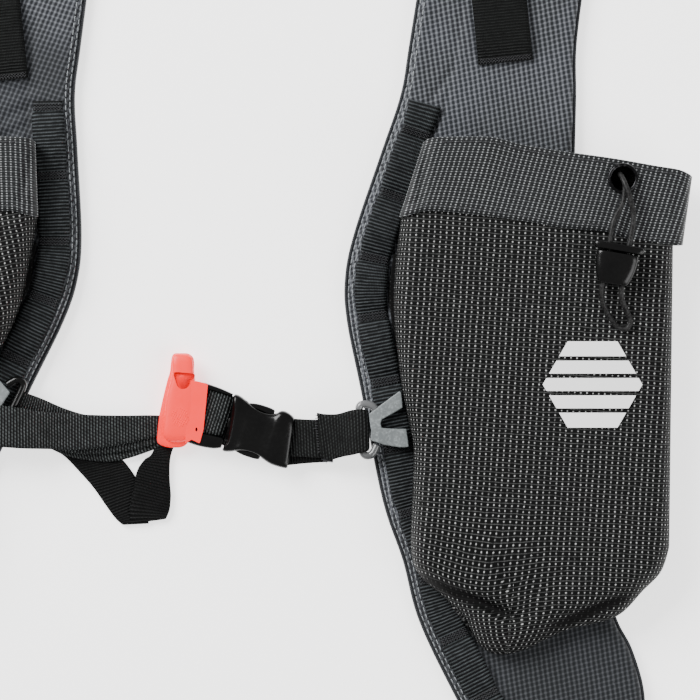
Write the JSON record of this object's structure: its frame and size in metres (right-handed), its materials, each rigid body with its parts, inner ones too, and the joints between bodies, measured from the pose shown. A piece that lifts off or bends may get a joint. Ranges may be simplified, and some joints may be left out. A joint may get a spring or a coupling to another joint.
{
  "type": "chest harness vest",
  "caption": "Padded vest harness laid flat: two straps joined by a yoke, mesh phone pockets, daisy chain webbing and a sternum strap with whistle buckle.",
  "frame": {"origin": "centre of the bounding box at its bottom, on the surface that the vest lies on", "axes": "+Y up towards the shoulders, +X towards the right-hand strap seen from the front, +Z out of the front face"},
  "size_m": [0.3988, 0.5392, 0.0303],
  "materials": {
    "grid_cloth": "matte woven gridstop",
    "liner_mesh": "matte spacer mesh",
    "foam": "matte foam",
    "binding": "matte folded tape",
    "ribbed_tape": "matte ribbed webbing",
    "sternum_web": "satin ribbed webbing",
    "pocket_mesh": "matte dotted mesh cloth",
    "shock_cord": "satin braided elastic",
    "eyelet_metal": "gloss black",
    "black_acetal": "satin moulded",
    "grey_acetal": "grained moulded",
    "whistle_red": "satin moulded",
    "reflective_print": "matte reflective transfer"
  },
  "bodies": {
    "vest": {"strap_liner_right": "liner_mesh", "strap_foam_right": "foam", "strap_cover_right": "grid_cloth", "strap_binding_right": "binding", "daisy_chain_right": "ribbed_tape", "keeper_loop_right": "ribbed_tape", "pocket_back_right": "grid_cloth", "pocket_body_right": "pocket_mesh", "pocket_hem_right": "grid_cloth", "eyelet_right": "eyelet_metal", "drawcord_right": "shock_cord", "sternum_clip_right": "grey_acetal", "lower_web_right": "ribbed_tape", "strap_liner_left": "liner_mesh", "strap_foam_left": "foam", "strap_cover_left": "grid_cloth", "strap_binding_left": "binding", "daisy_chain_left": "ribbed_tape", "keeper_loop_left": "ribbed_tape", "pocket_back_left": "grid_cloth", "pocket_body_left": "pocket_mesh", "pocket_hem_left": "grid_cloth", "eyelet_left": "eyelet_metal", "drawcord_left": "shock_cord", "sternum_clip_left": "grey_acetal", "lower_web_left": "ribbed_tape", "yoke_liner": "liner_mesh", "yoke_foam": "foam", "yoke_cover": "grid_cloth", "yoke_binding": "binding", "haul_loop": "ribbed_tape", "reflective_patch": "reflective_print", "web_right": "sternum_web", "web_left": "sternum_web", "web_under": "sternum_web", "web_slack": "sternum_web", "web_wrap_female": "sternum_web", "buckle_female": "black_acetal"},
    "buckle_male_half": {"buckle_male": "black_acetal", "whistle": "whistle_red", "web_wrap_male": "sternum_web"},
    "prong_upper_arm": {"prong_upper": "black_acetal"},
    "prong_lower_arm": {"prong_lower": "black_acetal"},
    "cord_lock_right": {"lock_housing_right": "black_acetal"},
    "cord_lock_slider_right": {"lock_slider_right": "black_acetal"},
    "ladder_lock_right": {"ladder_lock_right": "black_acetal"},
    "cord_lock_left": {"lock_housing_left": "black_acetal"},
    "cord_lock_slider_left": {"lock_slider_left": "black_acetal"},
    "ladder_lock_left": {"ladder_lock_left": "black_acetal"}
  },
  "joints": [
    {"name": "buckle_release", "type": "slide", "parent": "vest", "child": "buckle_male_half", "axis": [-0.9511, 0.309, 0], "range_m": [0, 0.026], "deforming": ["web_left", "web_under", "web_slack"]},
    {"name": "prong_upper_squeeze", "type": "hinge", "parent": "buckle_male_half", "child": "prong_upper_arm", "pos_m": [0.02929, -0.07419, 0.0058], "axis": [0, 0, 1], "range_deg": [-7, 0], "stiffness_Nm_per_rad": 0.2},
    {"name": "prong_lower_squeeze", "type": "hinge", "parent": "buckle_male_half", "child": "prong_lower_arm", "pos_m": [0.02496, -0.08751, 0.0058], "axis": [0, 0, 1], "range_deg": [0, 7], "stiffness_Nm_per_rad": 0.2},
    {"name": "cord_lock_travel_right", "type": "slide", "parent": "vest", "child": "cord_lock_right", "axis": [0.1736, 0.9848, 0], "range_m": [0, 0.006]},
    {"name": "cord_lock_slider_right", "type": "slide", "parent": "cord_lock_right", "child": "cord_lock_slider_right", "axis": [0.1736, 0.9848, 0], "range_m": [0, 0.003]},
    {"name": "ladder_lock_tilt_right", "type": "hinge", "parent": "vest", "child": "ladder_lock_right", "pos_m": [0.16272, -0.24485, 0.0035], "axis": [-0.9643, -0.2646, 0], "range_deg": [0, 85]},
    {"name": "cord_lock_travel_left", "type": "slide", "parent": "vest", "child": "cord_lock_left", "axis": [0.1045, 0.9945, 0], "range_m": [0, 0.006]},
    {"name": "cord_lock_slider_left", "type": "slide", "parent": "cord_lock_left", "child": "cord_lock_slider_left", "axis": [0.1045, 0.9945, 0], "range_m": [0, 0.003]},
    {"name": "ladder_lock_tilt_left", "type": "hinge", "parent": "vest", "child": "ladder_lock_left", "pos_m": [-0.18029, -0.24473, 0.0035], "axis": [-0.9584, 0.2856, 0], "range_deg": [0, 85]}
  ],
  "couplings": [
    {"joint": "prong_lower_squeeze", "follows": "prong_upper_squeeze", "ratio": -1}
  ]
}
